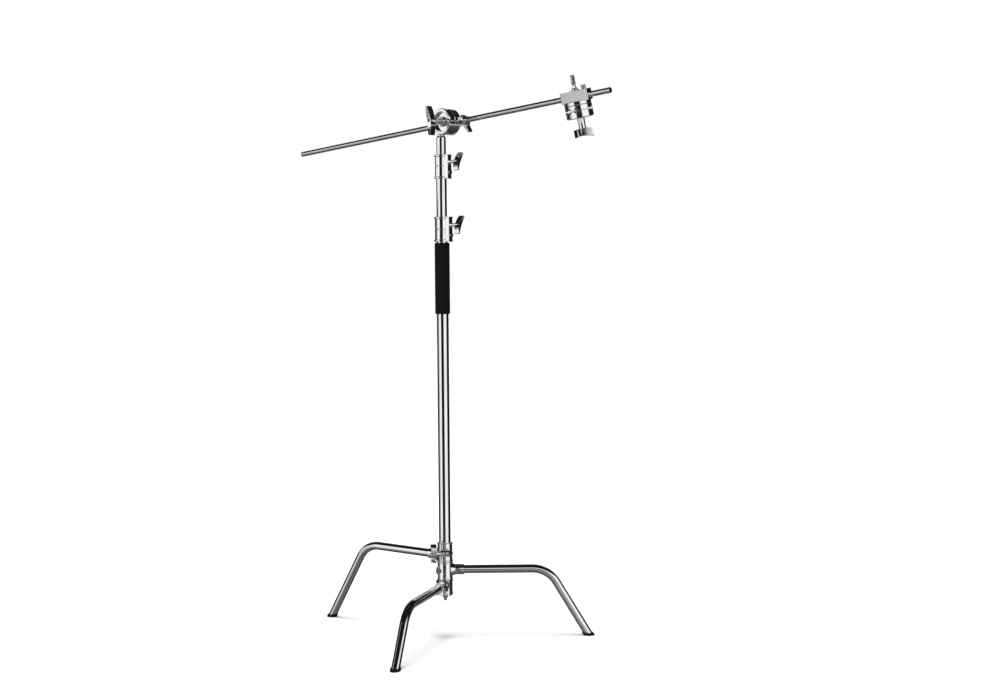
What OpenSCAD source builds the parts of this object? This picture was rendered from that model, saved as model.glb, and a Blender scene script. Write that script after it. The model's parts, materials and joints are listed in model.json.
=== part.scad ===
// Century stand for studio lights: three nesting bent legs, a column with two
// risers, two lock collars, a foam grip and a grip arm held by two grip heads.
// Millimetres, +Z up, origin on the column axis at floor level.

/* [Column] */
// Outside diameter of the main column tube
column_od = 35; // [33:0.5:40]
// Wall of the main column tube
column_wall = 1.2; // [1:0.1:1.5]
// Wall of both riser tubes
riser_wall = 1.2; // [1:0.1:1.5]
// Radial slack between the column and riser 1
riser_1_slack = 0.8; // [0.5:0.1:1]
// Radial slack between riser 1 and riser 2
riser_2_slack = 0.3; // [0.3:0.05:0.6]
// Height of the lower collar's underside above the floor
lower_collar_z = 1174; // [1100:1:1250]
// Length of the riser 1 tube
riser_1_length = 1075; // [900:5:1080]
// Length of the riser 2 tube
riser_2_length = 1040; // [900:5:1040]
// Bare riser 1 between the two collars, at rest
riser_1_raise = 111; // [40:1:150]
// Bare riser 2 between the upper collar and the spigot, at rest
riser_2_raise = 48; // [40:1:80]

/* [Foam grip] */
// Outside diameter of the foam sleeve
grip_od = 44; // [42:0.5:48]
// Length of the foam sleeve
grip_length = 209; // [150:1:260]
// Gap between the foam sleeve and the lower collar
grip_gap = 3; // [0.3:0.1:6]

/* [Collars] */
// Height of the lower collar casting
lower_collar_h = 73; // [68:1:85]
// Height of the upper collar casting
upper_collar_h = 70; // [66:1:80]
// Depth of the socket that holds the tube below
collar_socket = 36; // [30:1:38]
// Metal between the tube's socket and the collar's round body
collar_wall = 3; // [2.8:0.1:4]
// How far a collar's flange stands out from its body
flange_step = 2.5; // [1.5:0.5:4]
// Thickness of a collar's flange
flange_t = 6; // [4:0.5:8]
// Width of the flat-faced pad that carries a collar's screws
collar_pad_w = 18; // [16:0.5:22]
// Distance from the tube's surface to the pad's face
collar_pad_reach = 14; // [12:0.5:16]
// Thickness of the nylon liner
liner_t = 2; // [1.5:0.1:2.5]
// Direction in which the collar T-handles point
collar_handle_azimuth = -24; // [-40:1:-10]
// Height of the T-handle's screw above the socket's end
handle_rise = 13; // [10:0.5:18]
// Turn of the collar T-handles about their stems
collar_handle_turn = -27; // [-90:1:90]

/* [Legs] */
// Outside diameter of the leg tubes
leg_od = 25; // [22:0.5:27]
// Wall of the leg tubes
leg_wall = 1.5; // [1:0.1:2.5]
// Distance from the column axis to the corner of a leg's centre line
leg_corner = 306.5; // [260:0.5:340]
// Angle of a leg's drop below the horizontal
leg_drop_angle = 59; // [54:0.5:64]
// Bend radius of a leg's centre line
leg_bend = 85; // [70:1:100]
// Height of the bottom leg's straight run
bottom_leg_z = 156; // [150:0.5:158]
// Height of the middle leg's straight run
middle_leg_z = 202; // [196:0.5:206]
// Height of the top leg's straight run
top_leg_z = 245; // [243:0.5:250]
// Direction of the bottom leg
bottom_leg_azimuth = 261; // [255:1:265]
// Direction of the middle leg
middle_leg_azimuth = 10; // [5:1:15]
// Direction of the top leg
top_leg_azimuth = 153.5; // [148:0.5:158]

/* [Leg hubs] */
// Height of the lowest hub's underside
hub_z = 127; // [124:1:130]
// Height of the bottom hub
bottom_hub_h = 45; // [44:1:48]
// Height of the middle hub
middle_hub_h = 54; // [50:1:56]
// Height of the top hub
top_hub_h = 57; // [50:1:62]
// Metal round the column in the hubs
hub_wall = 4.6; // [4:0.2:6]
// Metal round the leg tube in the sockets
socket_wall = 3; // [2.5:0.25:4]
// Distance from the column axis to a socket's mouth
socket_reach = 56; // [50:1:64]
// Distance from the column axis to the leg tube's inner end
leg_root = 26; // [25:0.5:28]
// Floor of the bottom hub, under the column tube
hub_floor = 5; // [4:0.5:7]
// Thickness of each ear of the top hub's clamp
ear_t = 9; // [7:0.5:11]
// Split between the ears
ear_split = 3; // [2:0.5:5]
// Distance from the column axis to the clamp screw
ear_reach = 34; // [33:0.5:38]
// Direction in which the clamp's ears point
ear_azimuth = -78; // [-90:1:-70]

/* [Feet] */
// Rubber round the end of a leg
foot_wall = 2.3; // [1.5:0.1:4]
// Height of a foot's rubber rim above the floor
foot_rim = 8; // [6:0.5:14]
// Rubber under the end of a leg
foot_sole = 4; // [3:0.5:8]
// Length of a rubber foot's plug inside its leg
foot_length = 34; // [26:1:44]

/* [Grip heads] */
// Diameter of the jaw discs
disc_d = 76; // [72:0.5:80]
// Thickness of the front jaw
front_jaw_t = 20.5; // [18:0.5:22]
// Thickness of the middle jaw
middle_jaw_t = 13.5; // [12:0.5:16]
// Thickness of the round plate on the head's body
body_disc_t = 9; // [8:0.5:11]
// Gap between the two jaws when they hold a rod
jaw_gap = 2; // [1.5:0.25:4]
// Distance from the main bolt to each jaw groove
groove_offset = 20; // [19:0.5:22]
// Depth of the dish in the front jaw
dish_depth = 10; // [8:0.5:10.5]
// Diameter of the dish in the front jaw
dish_d = 57; // [48:1:64]
// Length of the receiver block along the arm
block_l = 94; // [80:1:100]
// Width of the receiver block across the arm
block_w = 26; // [24:0.5:34]
// Height of the receiver block along the main bolt
block_h = 29.5; // [27:0.5:36]
// Depth of the arm's axis below the block's round plate
arm_depth = 12; // [11:0.5:16]
// Diameter of the main bolt
main_bolt_d = 10; // [8:0.5:12]
// Gap between the spigot's neck and the discs of the head it carries
head_gap = 0.6; // [0.5:0.1:12]

/* [Grip arm] */
// Diameter of the arm and of every stud, the 5/8 inch standard
rod_d = 16; // [15.8:0.1:16.2]
// Wall of the arm's tube
arm_wall = 2; // [1.5:0.1:3]
// Arm on the free side of head 1
arm_tail = 692; // [500:1:760]
// Arm on the side that carries head 2
arm_nose = 588; // [540:1:700]
// Direction of the arm, seen from above
arm_azimuth = -33.5; // [-40:0.5:-30]
// Tilt of the arm above the horizontal
arm_tilt = 5; // [0:0.05:10]
// Distance from head 1 to head 2 along the arm
head_2_along = 468; // [350:1:500]
// Turn of head 2 about the arm
head_2_roll = 12; // [0:0.5:20]
// Turn of head 2's jaws about their bolt
head_2_jaw_turn = 35; // [0:1:90]

/* [T-handles] */
// Length of a large T-handle, across both wings
large_wing_l = 85; // [76:1:100]
// Width of a large T-handle in its middle
large_wing_w = 15; // [14:0.5:18]
// Depth of a large T-handle's wings along its stem
large_wing_t = 20; // [16:0.5:22]
// Diameter of a large T-handle's stem
large_stem_d = 22; // [20:0.5:24]
// Length of a large T-handle's stem
large_stem = 36; // [30:1:42]
// Length of a small T-handle, across both wings
small_wing_l = 58; // [50:1:64]
// Width of a small T-handle in its middle
small_wing_w = 11; // [10:0.5:13]
// Depth of a small T-handle's wings along its stem
small_wing_t = 16.5; // [13:0.5:18]
// Diameter of a small T-handle's stem
small_stem_d = 12; // [11:0.5:14]
// Length of a small T-handle's stem
small_stem = 18.5; // [16:0.5:24]
// Diameter of a small T-handle's screw
screw_d = 8; // [6:0.5:9]
// How far the wings bend out at their ends
wing_sweep = 3.5; // [2:0.5:6]
// How much deeper the wings are at their ends
wing_flare = 2; // [0.5:0.5:4]
// Turn of head 1's large T-handle, about its bolt
head_1_large_turn = 93; // [0:1:180]
// Turn of head 1's small T-handle, about its screw
head_1_small_turn = 65; // [0:1:180]
// Turn of head 2's large T-handle, about its bolt
head_2_large_turn = 16; // [0:1:180]
// Turn of head 2's small T-handle, about its screw
head_2_small_turn = 135; // [0:1:180]

/* [Clearances] */
// Running gap, on each side, between a shaft and its bore
run_gap = 0.1; // [0.05:0.01:0.15]
// Gap between faces of pieces that move past each other
face_gap = 0.3; // [0.2:0.05:0.5]

/* [Hidden] */
$fn = 96;

STEEL = "gainsboro";
CAST = "lightgray";
RUBBER = "dimgray";
NYLON = "whitesmoke";
BRASS = "goldenrod";

cut = 1;                          // overshoot of a cutting tool
edge = 1;                         // chamfer on the rims of castings
joint_lap = 0.5;                  // overlap of a straight run with the bend next to it
bend_swell = 0.05;                // growth of a tube's radius where it is bent
rod_r = rod_d / 2;

// Column and risers, from the floor up
column_r = column_od / 2;
riser_1_r = column_r - column_wall - riser_1_slack;
riser_2_r = riser_1_r - riser_wall - riser_2_slack;
grip_r = grip_od / 2;
grip_edge = 2;                    // soft edge of the foam
column_z = hub_z + hub_floor;
column_top = lower_collar_z + collar_socket;
neck_h = 9;                       // cone between the riser and the stud
neck_r = rod_r + 3;
stud_l = 65;                      // 5/8 inch stud above the neck
spigot_plug_l = 40;               // spigot inside riser 2
guide_flange_h = 18;              // guide plug below a riser's tube
guide_plug_l = 25;                // guide plug inside a riser's tube
guide_gap = 5;                    // least gap between a guide and the plug below it
end_plug_l = 42;                  // plug inside the column's foot
// A riser stands at its raise, or higher where its guide would meet what is below
riser_1_top = max(lower_collar_z + lower_collar_h + riser_1_raise + collar_socket,
                  column_z + end_plug_l + guide_gap + guide_flange_h + riser_1_length);
riser_1_foot = riser_1_top - riser_1_length;
upper_collar_z = riser_1_top - collar_socket;
spigot_z = max(upper_collar_z + upper_collar_h + riser_2_raise,
               riser_1_foot + guide_plug_l + guide_gap + guide_flange_h + riser_2_length);
riser_2_foot = spigot_z - riser_2_length;

// Stud under the column that holds the hubs together
base_stud_r = 4;
base_stud_l = 16;                 // stud below the lowest hub
base_washer_r = 8.5;
base_washer_t = 3;
cap_nut_d = 14.5;                 // across the corners
cap_nut_h = 7;
cap_dome_d = 11;
// The discs clear the rim of the neck, which is nearer to their middle than the stud
disc_drop = sqrt(pow(disc_d / 2, 2) - pow(max(0, groove_offset - neck_r), 2));
head_z = spigot_z + neck_h + head_gap + disc_drop;

// Hubs
middle_hub_z = hub_z + bottom_hub_h + face_gap;
top_hub_z = middle_hub_z + middle_hub_h + face_gap;
hub_bore = column_r + run_gap;
hub_r = hub_bore + hub_wall;
lip = 1.2;                        // raised rim at each end of a hub
lip_l = 4;
cheek_t = 4;
top_liner_t = 1.4;
clamp_bore = hub_bore + top_liner_t + run_gap;
clamp_r = clamp_bore + hub_wall - top_liner_t;
clamp_screw_z = top_hub_z + top_hub_h / 2 + 1;
socket_bore = leg_od / 2 + run_gap;
socket_r = socket_bore + socket_wall;
socket_flare = 5;                 // a socket is wider where it leaves the hub
socket_flare_l = 13;
leg_bolt_x = socket_reach - 18;
bolt_seat = socket_r - 1;         // flat face under a leg bolt's head
leg_bolt_d = 6;
bolt_head_d = 12;
bolt_head_h = 4.5;
bolt_nut_t = 5;
pin_r = 3;                        // the small screws that press on a tube
set_head_d = 13;
lock_head_h = 12;

// Grip head, measured along its main bolt from the middle of the jaw gap
front_face = jaw_gap / 2 + front_jaw_t;
dish_floor = front_face - dish_depth;
middle_back = -jaw_gap / 2 - middle_jaw_t;
disc_front = middle_back - face_gap;
block_front = disc_front - body_disc_t;
rod_level = block_front - arm_depth;
block_back = block_front - block_h;
boss_h = 3;                       // round boss under the small T-handle
boss_r = 12;
block_edge = 4;                   // radius of the receiver block's corners
washer_t = 2.5;
washer_r = large_stem_d / 2 + 4;
bolt_clear = 1.5;                 // metal between the main bolt's bore and the rod seat
bolt_inset = 4;                   // main bolt's end inside the large T-handle
bolt_chamfer = 1;
rod_seat = rod_r + run_gap;
pad_t = 4;
screw_r = screw_d / 2;
lock_screw_x = 31;

// T-handles
wing_edge = 6;                    // radius of the wings' corners
wing_tip_w = 4;                   // width of the wings at their tips
handle_foot_t = 2.5;
handle_foot_step = 2;
large_waist_r = 10;
small_waist_r = 4.25;
lock_l = rod_level - rod_r - run_gap - block_back;

// ---------------------------------------------------------------- helpers

// A tube standing on the XY plane
module tube(r, wall, h) {
    difference() {
        cylinder(r = r, h = h);
        translate([0, 0, -cut]) cylinder(r = r - wall, h = h + 2 * cut);
    }
}

// A screw or bolt head with a hexagon socket, its seat on the XY plane
module socket_head(d, h) {
    difference() {
        cylinder(d = d, h = h);
        translate([0, 0, h / 2]) cylinder(d = d * 0.55, h = h, $fn = 6);
    }
}

// A centred rectangle with rounded corners
module rounded_square(size, r) {
    square([size.x - 2 * r, size.y], center = true);
    square([size.x, size.y - 2 * r], center = true);
    for (x = [-1, 1], y = [-1, 1])
        translate([x * (size.x / 2 - r), y * (size.y / 2 - r)]) circle(r = r);
}

// A T-handle's wings from the side: t deep in the middle, both edges swept up
module wing_side(l, t) {
    tip_sweep = wing_sweep + wing_flare;
    inner_r = (l * l / 4 + wing_sweep * wing_sweep) / (2 * wing_sweep);
    outer_r = (l * l / 4 + tip_sweep * tip_sweep) / (2 * tip_sweep);
    difference() {
        intersection() {
            translate([0, inner_r - t / 2]) circle(r = inner_r, $fn = 360);
            translate([0, tip_sweep / 2])
                rounded_square([l, t + tip_sweep + 2 * edge], wing_edge);
        }
        translate([0, outer_r + t / 2]) circle(r = outer_r, $fn = 360);
    }
}

// A T-handle's wings from its end: w wide in the middle and thin at the tips
module wing_plan(l, w) {
    bulge = (w - wing_tip_w) / 2;
    r = (l * l / 4 + bulge * bulge) / (2 * bulge);
    intersection_for(s = [-1, 1])
        translate([0, s * (r - w / 2)]) circle(r = r, $fn = 360);
}

// A T-handle that stands on the XY plane with its wings across X
module t_handle(l, w, t, stem_d, waist_r, stem_l, bore = 0) {
    foot_r = stem_d / 2 + handle_foot_step;
    top_r = max(waist_r, w / 2 + 1);
    difference() {
        union() {
            // turned stem, with a foot, a waist and a cone that runs into the wings
            rotate_extrude() polygon([
                [0, 0], [foot_r, 0], [foot_r, handle_foot_t],
                [stem_d / 2, handle_foot_t + handle_foot_step],
                [waist_r, stem_l * 0.6], [top_r, stem_l], [w / 2, stem_l + t - 2],
                [0, stem_l + t - 2]
            ]);
            translate([0, 0, stem_l + t / 2]) intersection() {
                linear_extrude(4 * t, center = true) wing_plan(l, w);
                rotate([90, 0, 0]) linear_extrude(2 * w, center = true) wing_side(l, t);
            }
        }
        if (bore > 0) translate([0, 0, -cut])
            cylinder(r = bore, h = stem_l + t + 2 * cut);
    }
}

// A small T-handle whose screw reaches down to depth below its foot
module small_t_handle(stem_l, depth) {
    t_handle(small_wing_l, small_wing_w, small_wing_t, small_stem_d, small_waist_r, stem_l);
    translate([0, 0, -depth]) cylinder(r = screw_r, h = depth + cut);
}

// ------------------------------------------------------------ column

module main_column() color(STEEL)
    translate([0, 0, column_z]) tube(column_r, column_wall, column_top - column_z);

// Steel plug in the column's foot, with the stud that holds the bottom hub
module column_end_plug() color(STEEL) {
    translate([0, 0, column_z])
        cylinder(r = column_r - column_wall - run_gap, h = end_plug_l);
    translate([0, 0, hub_z - base_stud_l])
        cylinder(r = base_stud_r, h = base_stud_l + hub_floor + cut);
}

module base_washer() color(STEEL) translate([0, 0, hub_z - base_washer_t])
    tube(base_washer_r, base_washer_r - base_stud_r - run_gap, base_washer_t);

module base_cap_nut() color(STEEL) difference() {
    dome_z = base_stud_l - base_washer_t - cap_dome_d / 4;
    translate([0, 0, hub_z - base_washer_t]) rotate([180, 0, 0]) union() {
        cylinder(d = cap_nut_d, h = cap_nut_h, $fn = 6);
        cylinder(d = cap_dome_d, h = dome_z);
        translate([0, 0, dome_z]) sphere(d = cap_dome_d);
    }
    translate([0, 0, hub_z - base_stud_l - run_gap])
        cylinder(r = base_stud_r + run_gap, h = base_stud_l + cut);
}

module foam_grip() color("black")
    translate([0, 0, lower_collar_z - grip_gap - grip_length]) difference() {
        rotate_extrude() polygon([
            [0, 0], [grip_r - grip_edge, 0], [grip_r, grip_edge],
            [grip_r, grip_length - grip_edge], [grip_r - grip_edge, grip_length],
            [0, grip_length]
        ]);
        translate([0, 0, -cut]) cylinder(r = column_r + run_gap, h = grip_length + 2 * cut);
    }

// ------------------------------------------------------------ lock collars

// Places the children on a collar's pad side, reach from the axis, pointing out
module collar_side(z, reach) rotate([0, 0, collar_handle_azimuth])
    translate([reach, 0, z]) rotate([0, 90, 0]) children();

waist_l = 1.5;                    // groove round a collar, above its socket
handle_level = collar_socket + handle_rise;
set_screw_level = collar_socket / 2 + 1;

// Slice of the pad from z0 to z1, grown all round by grow
module collar_pad(reach, z0, z1, grow) rotate([0, 0, collar_handle_azimuth])
    translate([0, -collar_pad_w / 2 - grow, z0])
        cube([reach + grow, collar_pad_w + 2 * grow, z1 - z0]);

// Casting that is fixed on tube_r and guides slider_r above it
module collar(tube_r, slider_r, h) {
    body_r = tube_r + run_gap + collar_wall;
    flange_r = body_r + flange_step;
    pad_x = tube_r + collar_pad_reach;
    difference() {
        union() {
            rotate_extrude() polygon([
                [0, 0], [flange_r - edge, 0], [flange_r, edge], [flange_r, flange_t - edge],
                [flange_r - edge, flange_t], [body_r, flange_t],
                [body_r, collar_socket - edge], [body_r - edge, collar_socket],
                [body_r - edge, collar_socket + waist_l],
                [body_r, collar_socket + waist_l + edge], [body_r, h - flange_t],
                [flange_r - edge, h - flange_t], [flange_r, h - flange_t + edge],
                [flange_r, h - edge], [flange_r - edge, h], [0, h]
            ]);
            collar_pad(pad_x, flange_t / 2, h - flange_t / 2, 0);
            collar_pad(pad_x, 0, flange_t / 2, flange_step / 2);
            collar_pad(pad_x, h - flange_t / 2, h, flange_step / 2);
        }
        translate([0, 0, -cut]) cylinder(r = tube_r + run_gap, h = collar_socket + cut);
        translate([0, 0, collar_socket - cut])
            cylinder(r = slider_r + 2 * run_gap + liner_t, h = h);
        collar_side(handle_level, 0) cylinder(r = screw_r + run_gap, h = pad_x + cut);
        collar_side(set_screw_level, 0) cylinder(r = pin_r + run_gap, h = pad_x + cut);
    }
}

// Nylon sleeve between the collar and the tube that slides in it
module liner(slider_r, h) {
    difference() {
        translate([0, 0, collar_socket + face_gap])
            tube(slider_r + run_gap + liner_t, liner_t, h - collar_socket - 2 * face_gap);
        collar_side(handle_level, 0) cylinder(r = screw_r + run_gap, h = slider_r * 2);
    }
}

// Brass shoe that the T-handle's screw presses against the sliding tube
module brake_pad(slider_r, h) {
    difference() {
        collar_side(handle_level, 0) cylinder(r = screw_r, h = slider_r + pad_t);
        cylinder(r = slider_r + run_gap, h = h);
    }
}

module set_screw(tube_r) {
    collar_side(set_screw_level, tube_r + collar_pad_reach) socket_head(set_head_d, bolt_head_h);
    collar_side(set_screw_level, tube_r + run_gap)
        cylinder(r = pin_r, h = collar_pad_reach);
}

module collar_handle(tube_r, slider_r) {
    seat = tube_r + collar_pad_reach + face_gap;
    collar_side(handle_level, seat) rotate([0, 0, collar_handle_turn])
        small_t_handle(small_stem, seat - slider_r - pad_t - run_gap);
}

module lower_collar() color(CAST)
    translate([0, 0, lower_collar_z]) collar(column_r, riser_1_r, lower_collar_h);
module lower_collar_liner() color(NYLON)
    translate([0, 0, lower_collar_z]) liner(riser_1_r, lower_collar_h);
module lower_collar_brake_pad() color(BRASS)
    translate([0, 0, lower_collar_z]) brake_pad(riser_1_r, lower_collar_h);
module lower_collar_set_screw() color(STEEL)
    translate([0, 0, lower_collar_z]) set_screw(column_r);
module lower_collar_t_handle() color(STEEL)
    translate([0, 0, lower_collar_z]) collar_handle(column_r, riser_1_r);

module upper_collar() color(CAST)
    translate([0, 0, upper_collar_z]) collar(riser_1_r, riser_2_r, upper_collar_h);
module upper_collar_liner() color(NYLON)
    translate([0, 0, upper_collar_z]) liner(riser_2_r, upper_collar_h);
module upper_collar_brake_pad() color(BRASS)
    translate([0, 0, upper_collar_z]) brake_pad(riser_2_r, upper_collar_h);
module upper_collar_set_screw() color(STEEL)
    translate([0, 0, upper_collar_z]) set_screw(riser_1_r);
module upper_collar_t_handle() color(STEEL)
    translate([0, 0, upper_collar_z]) collar_handle(riser_1_r, riser_2_r);

// ------------------------------------------------------------ risers

// Flanged nylon plug in a riser's foot, which centres it in the tube around it
module guide_plug(riser_r, outer_r) {
    cylinder(r = outer_r - run_gap, h = guide_flange_h);
    cylinder(r = riser_r - riser_wall - run_gap, h = guide_flange_h + guide_plug_l);
}

module riser_1_tube() color(STEEL) translate([0, 0, riser_1_foot])
    tube(riser_1_r, riser_wall, riser_1_length);
module riser_1_guide() color(NYLON)
    translate([0, 0, riser_1_foot - guide_flange_h])
    guide_plug(riser_1_r, column_r - column_wall);
module riser_2_tube() color(STEEL) translate([0, 0, riser_2_foot])
    tube(riser_2_r, riser_wall, riser_2_length);
module riser_2_guide() color(NYLON)
    translate([0, 0, riser_2_foot - guide_flange_h])
    guide_plug(riser_2_r, riser_1_r - riser_wall);

// Plug, neck and 5/8 inch stud in one turned piece
module top_spigot() color(STEEL) translate([0, 0, spigot_z])
    rotate_extrude() polygon([
        [0, -spigot_plug_l], [riser_2_r - riser_wall - run_gap, -spigot_plug_l],
        [riser_2_r - riser_wall - run_gap, 0], [riser_2_r, 0], [riser_2_r, 2 * edge],
        [neck_r, neck_h - 2 * edge], [neck_r, neck_h], [rod_r, neck_h],
        [rod_r, neck_h + stud_l - tip_chamfer], [rod_r - tip_chamfer, neck_h + stud_l],
        [0, neck_h + stud_l]
    ]);

// ------------------------------------------------------------ legs

// Solid of radius r along a leg's centre line, from its root to past the floor
module leg_sweep(z, r, root) {
    bend_start = leg_corner - leg_bend * tan(leg_drop_angle / 2);
    drop_x = bend_start + leg_bend * sin(leg_drop_angle);
    drop_z = z - leg_bend * (1 - cos(leg_drop_angle));
    translate([root, 0, z]) rotate([0, 90, 0])
        cylinder(r = r, h = bend_start - root + joint_lap);
    translate([bend_start, 0, z - leg_bend]) rotate([90, 0, 0])
        rotate_extrude(angle = leg_drop_angle, start = 90 - leg_drop_angle)
            translate([leg_bend, 0]) circle(r = r + bend_swell);
    translate([drop_x, 0, drop_z]) rotate([0, 90 + leg_drop_angle, 0])
        translate([0, 0, -joint_lap])
            cylinder(r = r, h = drop_z / sin(leg_drop_angle) + 2 * leg_od + joint_lap);
}

module below(z) translate([0, -leg_od * 2, z - leg_od * 4])
    cube([leg_corner * 2.5, leg_od * 4, leg_od * 4]);

module above(z) translate([0, -leg_od * 2, z])
    cube([leg_corner * 2.5, leg_od * 4, leg_od * 8]);

// Places the children across a leg at its socket bolt
module across_leg(z) translate([leg_bolt_x, 0, z]) rotate([90, 0, 0]) children();

module leg_tube(z) {
    difference() {
        leg_sweep(z, leg_od / 2, leg_root);
        leg_sweep(z, leg_od / 2 - leg_wall, leg_root - cut);
        below(foot_sole);
        across_leg(z) cylinder(d = leg_bolt_d + 2 * run_gap, h = leg_od * 2, center = true);
    }
}

// Rod of radius r on a leg's straight end, from under the floor up to length
module foot_rod(z, r, length) translate([leg_corner + z / tan(leg_drop_angle), 0, 0])
    rotate([0, 270 + leg_drop_angle, 0]) translate([0, 0, -leg_od])
        cylinder(r = r, h = leg_od + length);

// Rubber foot: a sole with a low rim round the tube's end, and a plug in the tube
module leg_foot(z) difference() {
    union() {
        difference() {
            foot_rod(z, leg_od / 2 + foot_wall, 2 * leg_od);
            above(foot_rim);
            difference() {
                foot_rod(z, leg_od / 2 + run_gap, 3 * leg_od);
                below(foot_sole);
            }
        }
        foot_rod(z, leg_od / 2 - leg_wall - run_gap, foot_length);
    }
    below(0);
}

// Cross bolt that holds a leg in its socket, with a nut behind
module leg_bolt(z) across_leg(z) {
    translate([0, 0, -bolt_seat - bolt_nut_t - 1])
        cylinder(d = leg_bolt_d, h = 2 * bolt_seat + bolt_nut_t + 2);
    translate([0, 0, bolt_seat]) socket_head(bolt_head_d, bolt_head_h);
    translate([0, 0, -bolt_seat - bolt_nut_t])
        cylinder(d = bolt_head_d, h = bolt_nut_t, $fn = 6);
}

// Solid part of the socket that carries a leg's root
module socket_solid(z) {
    translate([0, 0, z]) rotate([0, 90, 0]) {
        cylinder(r = socket_r, h = socket_reach - edge);
        cylinder(r = socket_r - edge, h = socket_reach);
        translate([0, 0, hub_r - socket_flare])
            cylinder(r1 = socket_r + socket_flare, r2 = socket_r, h = socket_flare_l);
    }
}

// Everything a socket has cut out of it
module socket_cuts(z) {
    translate([leg_root, 0, z]) rotate([0, 90, 0]) cylinder(r = socket_bore, h = socket_reach);
    across_leg(z) {
        cylinder(d = leg_bolt_d + 2 * run_gap, h = socket_r * 4, center = true);
        for (s = [-1, 1]) translate([0, 0, s * (bolt_seat + socket_r / 2)])
            cylinder(d = bolt_head_d + 2 * edge, h = socket_r, center = true);
    }
}

// Round barrel on the column, with a raised lip at each end
module hub_barrel(z, h, r) translate([0, 0, z])
    rotate_extrude() polygon([
        [0, 0], [r, 0], [r + lip, lip], [r + lip, lip_l], [r, lip_l + lip],
        [r, h - lip_l - lip], [r + lip, h - lip_l], [r + lip, h - lip], [r, h], [0, h]
    ]);

module bottom_leg_hub() color(CAST) rotate([0, 0, bottom_leg_azimuth]) difference() {
    union() {
        hub_barrel(hub_z, bottom_hub_h, hub_r);
        intersection() {
            socket_solid(bottom_leg_z);
            translate([0, -leg_od * 2, hub_z])
                cube([socket_reach * 2, leg_od * 4, bottom_hub_h]);
        }
        // flat cheeks that stiffen the fixed leg's casting
        for (s = [-1, 1]) translate([0, s * (hub_r - cheek_t / 2) - cheek_t / 2, hub_z])
            cube([hub_r + 3, cheek_t, bottom_hub_h]);
    }
    translate([0, 0, column_z]) cylinder(r = hub_bore, h = bottom_hub_h);
    translate([0, 0, hub_z - cut]) cylinder(r = base_stud_r + run_gap, h = bottom_hub_h);
    socket_cuts(bottom_leg_z);
}
module bottom_leg_tube() color(STEEL) rotate([0, 0, bottom_leg_azimuth]) leg_tube(bottom_leg_z);
module bottom_leg_foot() color(RUBBER) rotate([0, 0, bottom_leg_azimuth]) leg_foot(bottom_leg_z);
module bottom_leg_bolt() color(STEEL) rotate([0, 0, bottom_leg_azimuth]) leg_bolt(bottom_leg_z);

// The stop screw sits in a boss opposite the middle leg and faces sideways
stop_x = -hub_r + 2.2;
stop_z = middle_hub_z + middle_hub_h / 2;
stop_seat = 18;
stop_tip = 6;
stop_boss_r = 7.5;
stop_ear_x = -10;
stop_ear_r = 17.5;
stop_ear_t = 16;

// Places the children on the stop screw's axis, pointing out
module stop_axis(depth) rotate([0, 0, middle_leg_azimuth])
    translate([stop_x, 0, stop_z]) rotate([90, 0, 0]) translate([0, 0, depth]) children();

module middle_leg_hub() color(CAST) difference() {
    union() {
        hub_barrel(middle_hub_z, middle_hub_h, hub_r);
        rotate([0, 0, middle_leg_azimuth]) socket_solid(middle_leg_z);
        // round ear opposite the leg, and the seat of the stop screw
        rotate([0, 0, middle_leg_azimuth]) translate([stop_ear_x, 0, stop_z])
            rotate([90, 0, 0]) cylinder(r = stop_ear_r, h = stop_ear_t, center = true);
        stop_axis(0) cylinder(r = stop_boss_r, h = stop_seat);
    }
    translate([0, 0, middle_hub_z - cut]) cylinder(r = hub_bore, h = middle_hub_h + 2 * cut);
    rotate([0, 0, middle_leg_azimuth]) socket_cuts(middle_leg_z);
    stop_axis(stop_tip - run_gap) cylinder(r = pin_r + run_gap, h = stop_seat);
}
module middle_leg_tube() color(STEEL) rotate([0, 0, middle_leg_azimuth]) leg_tube(middle_leg_z);
module middle_leg_foot() color(RUBBER) rotate([0, 0, middle_leg_azimuth]) leg_foot(middle_leg_z);
module middle_leg_bolt() color(STEEL) rotate([0, 0, middle_leg_azimuth]) leg_bolt(middle_leg_z);

module middle_hub_stop_screw() color(STEEL) {
    stop_axis(stop_seat) socket_head(bolt_head_d, bolt_head_h);
    stop_axis(stop_tip) cylinder(r = pin_r, h = stop_seat - stop_tip + cut);
}

// ------------------------------------------------------------ top leg's clamp

ear_face = ear_t + ear_split / 2;
ear_r = 10;
clamp_stem = 12;
clamp_handle_turn = 80;
clamp_nut_d = 20;                 // across the corners
clamp_nut_t = 10;
clamp_tip = 3;                    // screw beyond its nut
top_hub_trim = 2;                 // the socket ends inside the hub's height

// Places the children on the clamp screw's axis, which runs across the ears
module clamp_screw_axis() rotate([0, 0, ear_azimuth]) translate([ear_reach, 0, clamp_screw_z])
    rotate([90, 0, 0]) children();

module top_hub_liner() color(NYLON) translate([0, 0, top_hub_z + face_gap])
    tube(hub_bore + top_liner_t, top_liner_t, top_hub_h - 2 * face_gap);

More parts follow.
